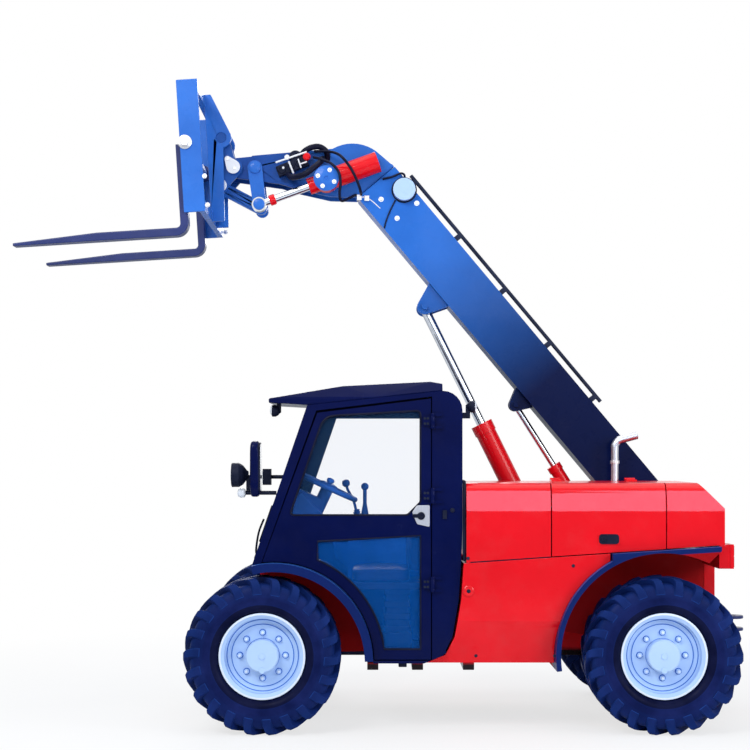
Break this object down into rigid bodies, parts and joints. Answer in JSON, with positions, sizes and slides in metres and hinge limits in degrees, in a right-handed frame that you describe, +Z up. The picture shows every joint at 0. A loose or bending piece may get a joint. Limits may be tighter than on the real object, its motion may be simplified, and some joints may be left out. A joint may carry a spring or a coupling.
{
  "type": "compact telehandler",
  "caption": "Compact telehandler with a side cab, offset telescopic boom, hydraulic cylinders, tilting fork carriage and steered wheels on both axles.",
  "frame": {"origin": "on the ground under the middle of the machine's bounding box", "axes": "+X forward along the machine, +Y to its left, +Z up"},
  "size_m": [4.1552, 1.8, 3.577],
  "materials": {
    "red_paint": "gloss",
    "blue_paint": "gloss",
    "navy_paint": "gloss",
    "rim_paint": "satin",
    "tyre_rubber": "matte",
    "chrome": "polished",
    "steel": "satin",
    "dark_steel": "satin",
    "cast_iron": "rough",
    "black_plastic": "matte",
    "seat_vinyl": "satin",
    "glass": "clear"
  },
  "bodies": {
    "chassis": {"frame": "red_paint", "front_axle": "cast_iron", "rear_axle": "cast_iron", "engine": "cast_iron", "counterweight": "red_paint", "tow_hitch": "dark_steel", "cab_frame": "navy_paint", "cab_roof": "navy_paint", "cab_glass": "glass", "seat": "seat_vinyl", "steering_column": "black_plastic", "control_console": "black_plastic", "hood_front": "red_paint", "hood_rear": "red_paint", "side_box": "red_paint", "right_tank": "red_paint", "right_hood": "red_paint", "fenders": "navy_paint", "wheel_liners": "red_paint", "exhaust": "steel", "mirrors": "black_plastic", "head_lamps": "black_plastic", "tail_lamps": "red_paint", "roof_lamps": "black_plastic"},
    "door": {"door": "navy_paint", "door_glass": "glass"},
    "hood_lid": {"hood_door": "red_paint"},
    "boom": {"outer_boom": "blue_paint", "boom_pipe": "steel", "boom_drum": "rim_paint"},
    "boom_slide": {"inner_boom": "blue_paint", "boom_head": "blue_paint", "aux_coupler": "black_plastic"},
    "lift_barrel": {"lift_barrel": "red_paint"},
    "lift_rod": {"lift_rod": "chrome"},
    "level_barrel": {"level_barrel": "red_paint"},
    "level_rod": {"level_rod": "chrome"},
    "tilt_barrel": {"tilt_barrel": "red_paint"},
    "tilt_rod": {"tilt_rod": "chrome"},
    "rocker": {"rocker": "blue_paint"},
    "tilt_link": {"tilt_link": "blue_paint"},
    "carriage": {"hitch": "blue_paint", "fork_carriage": "blue_paint", "forks": "dark_steel"},
    "knuckle_front_left": {"knuckle_fl": "cast_iron"},
    "wheel_front_left": {"rim_fl": "rim_paint", "tyre_fl": "tyre_rubber"},
    "knuckle_front_right": {"knuckle_fr": "cast_iron"},
    "wheel_front_right": {"rim_fr": "rim_paint", "tyre_fr": "tyre_rubber"},
    "knuckle_rear_left": {"knuckle_rl": "cast_iron"},
    "wheel_rear_left": {"rim_rl": "rim_paint", "tyre_rl": "tyre_rubber"},
    "knuckle_rear_right": {"knuckle_rr": "cast_iron"},
    "wheel_rear_right": {"rim_rr": "rim_paint", "tyre_rr": "tyre_rubber"}
  },
  "joints": [
    {"name": "steer_front_left", "type": "hinge", "parent": "chassis", "child": "knuckle_front_left", "pos_m": [0.66439, 0.61, 0.42], "axis": [0, 0, 1], "range_deg": [-30, 30]},
    {"name": "spin_front_left", "type": "hinge", "parent": "knuckle_front_left", "child": "wheel_front_left", "pos_m": [0.66439, 0.745, 0.42], "axis": [0, 1, 0], "continuous": true},
    {"name": "steer_front_right", "type": "hinge", "parent": "chassis", "child": "knuckle_front_right", "pos_m": [0.66439, -0.61, 0.42], "axis": [0, 0, 1], "range_deg": [-30, 30]},
    {"name": "spin_front_right", "type": "hinge", "parent": "knuckle_front_right", "child": "wheel_front_right", "pos_m": [0.66439, -0.745, 0.42], "axis": [0, 1, 0], "continuous": true},
    {"name": "steer_rear_left", "type": "hinge", "parent": "chassis", "child": "knuckle_rear_left", "pos_m": [-1.47561, 0.61, 0.42], "axis": [0, 0, 1], "range_deg": [-30, 30]},
    {"name": "spin_rear_left", "type": "hinge", "parent": "knuckle_rear_left", "child": "wheel_rear_left", "pos_m": [-1.47561, 0.745, 0.42], "axis": [0, 1, 0], "continuous": true},
    {"name": "steer_rear_right", "type": "hinge", "parent": "chassis", "child": "knuckle_rear_right", "pos_m": [-1.47561, -0.61, 0.42], "axis": [0, 0, 1], "range_deg": [-30, 30]},
    {"name": "spin_rear_right", "type": "hinge", "parent": "knuckle_rear_right", "child": "wheel_rear_right", "pos_m": [-1.47561, -0.745, 0.42], "axis": [0, 1, 0], "continuous": true},
    {"name": "door_hinge", "type": "hinge", "parent": "chassis", "child": "door", "pos_m": [-0.24561, 0.8133, 1.2], "axis": [0, 0, 1], "range_deg": [0, 95]},
    {"name": "hood_hinge", "type": "hinge", "parent": "chassis", "child": "hood_lid", "pos_m": [-1.18561, 0.118, 1.3513], "axis": [1, 0, 0], "range_deg": [0, 60]},
    {"name": "boom_lift", "type": "hinge", "parent": "chassis", "child": "boom", "pos_m": [-1.53661, -0.11, 1.18], "axis": [0, -1, 0], "range_deg": [-53, 16]},
    {"name": "boom_extend", "type": "slide", "parent": "boom", "child": "boom_slide", "axis": [0.6428, 0, 0.766], "range_m": [0, 1.8]},
    {"name": "carriage_tilt", "type": "hinge", "parent": "boom_slide", "child": "carriage", "pos_m": [0.88208, -0.11, 3.15938], "axis": [0, 1, 0], "range_deg": [-65, 45]},
    {"name": "lift_swing", "type": "hinge", "parent": "chassis", "child": "lift_barrel", "pos_m": [-1.18561, -0.11, 0.42], "axis": [0, -1, 0], "range_deg": [-46, 15]},
    {"name": "lift_stroke", "type": "slide", "parent": "lift_barrel", "child": "lift_rod", "axis": [0.4438, 0, 0.8961], "range_m": [-0.72, 0.23]},
    {"name": "level_swing", "type": "hinge", "parent": "chassis", "child": "level_barrel", "pos_m": [-1.38561, -0.11, 0.8], "axis": [0, -1, 0], "range_deg": [-48, 15]},
    {"name": "level_stroke", "type": "slide", "parent": "level_barrel", "child": "level_rod", "axis": [0.5352, 0, 0.8447], "range_m": [-0.37, 0.12]},
    {"name": "rocker_turn", "type": "hinge", "parent": "boom_slide", "child": "rocker", "pos_m": [0.75891, -0.11, 3.15961], "axis": [0, 1, 0], "range_deg": [-43, 30]},
    {"name": "link_turn", "type": "hinge", "parent": "rocker", "child": "tilt_link", "pos_m": [0.72979, -0.11, 2.93667], "axis": [0, 1, 0], "range_deg": [-11, 16]},
    {"name": "tilt_swing", "type": "hinge", "parent": "boom_slide", "child": "tilt_barrel", "pos_m": [0.3402, -0.11, 3.07755], "axis": [0, 1, 0], "range_deg": [-7, 5]},
    {"name": "tilt_stroke", "type": "slide", "parent": "tilt_barrel", "child": "tilt_rod", "axis": [0.9404, 0, -0.3401], "range_m": [-0.12, 0.17]}
  ],
  "couplings": [
    {"joint": "steer_front_right", "follows": "steer_front_left", "ratio": 1},
    {"joint": "steer_rear_right", "follows": "steer_rear_left", "ratio": 1},
    {"joint": "lift_swing", "follows": "boom_lift", "ratio": 0.84},
    {"joint": "lift_stroke", "follows": "boom_lift", "m_per_rad": 0.75},
    {"joint": "level_swing", "follows": "boom_lift", "ratio": 0.87},
    {"joint": "level_stroke", "follows": "boom_lift", "m_per_rad": 0.39},
    {"joint": "rocker_turn", "follows": "carriage_tilt", "ratio": 0.65},
    {"joint": "link_turn", "follows": "carriage_tilt", "ratio": -0.23},
    {"joint": "tilt_swing", "follows": "carriage_tilt", "ratio": 0.1},
    {"joint": "tilt_stroke", "follows": "carriage_tilt", "m_per_rad": -0.14}
  ]
}
